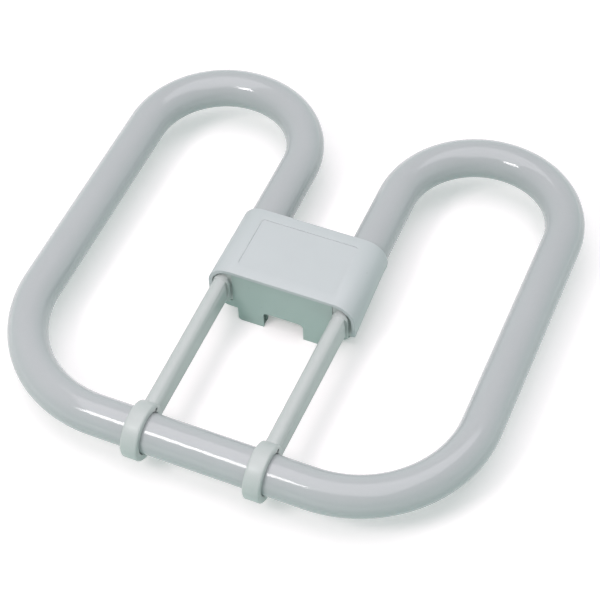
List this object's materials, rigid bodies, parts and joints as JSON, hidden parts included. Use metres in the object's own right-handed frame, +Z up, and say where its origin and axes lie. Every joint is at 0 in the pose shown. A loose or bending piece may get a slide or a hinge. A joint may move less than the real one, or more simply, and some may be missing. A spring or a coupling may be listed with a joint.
{
  "type": "square compact fluorescent lamp",
  "caption": "Flat square fluorescent lamp: a white glass tube bent into a double-D ring that ends in a moulded base, with support arms from the base clipped to the far run.",
  "frame": {"origin": "middle of the lamp's outline, on the plane that the base's feet stand on", "axes": "+X along the straight front run of the tube, +Y from the front run towards the U-bends, +Z up through the base's cover"},
  "size_m": [0.205, 0.2024, 0.0313],
  "materials": {
    "coated_glass": "gloss, opaque white from the coating inside",
    "white_plastic": "satin",
    "brass": "bright drawn",
    "starter_glass": "clear gloss",
    "capacitor_dip": "dipped gloss",
    "tinned_metal": "dull tinned",
    "wire_sleeve": "woven glass-fibre sleeving",
    "cement": "dull"
  },
  "bodies": {
    "root": {"discharge_tube": "coated_glass", "base_cover": "white_plastic", "base_body": "white_plastic", "support_arm_left": "white_plastic", "support_arm_right": "white_plastic", "contact_pin_left": "brass", "contact_pin_right": "brass", "starter_bulb": "starter_glass", "capacitor": "capacitor_dip", "crimp_left": "tinned_metal", "crimp_right": "tinned_metal", "starter_wire_left": "tinned_metal", "starter_wire_right": "tinned_metal", "capacitor_wire_left": "tinned_metal", "capacitor_wire_right": "tinned_metal", "pin_wire_left": "wire_sleeve", "pin_wire_right": "wire_sleeve", "starting_wire_left": "wire_sleeve", "starting_wire_right": "wire_sleeve", "tube_cement_left": "cement", "tube_cement_right": "cement"}
  },
  "joints": []
}
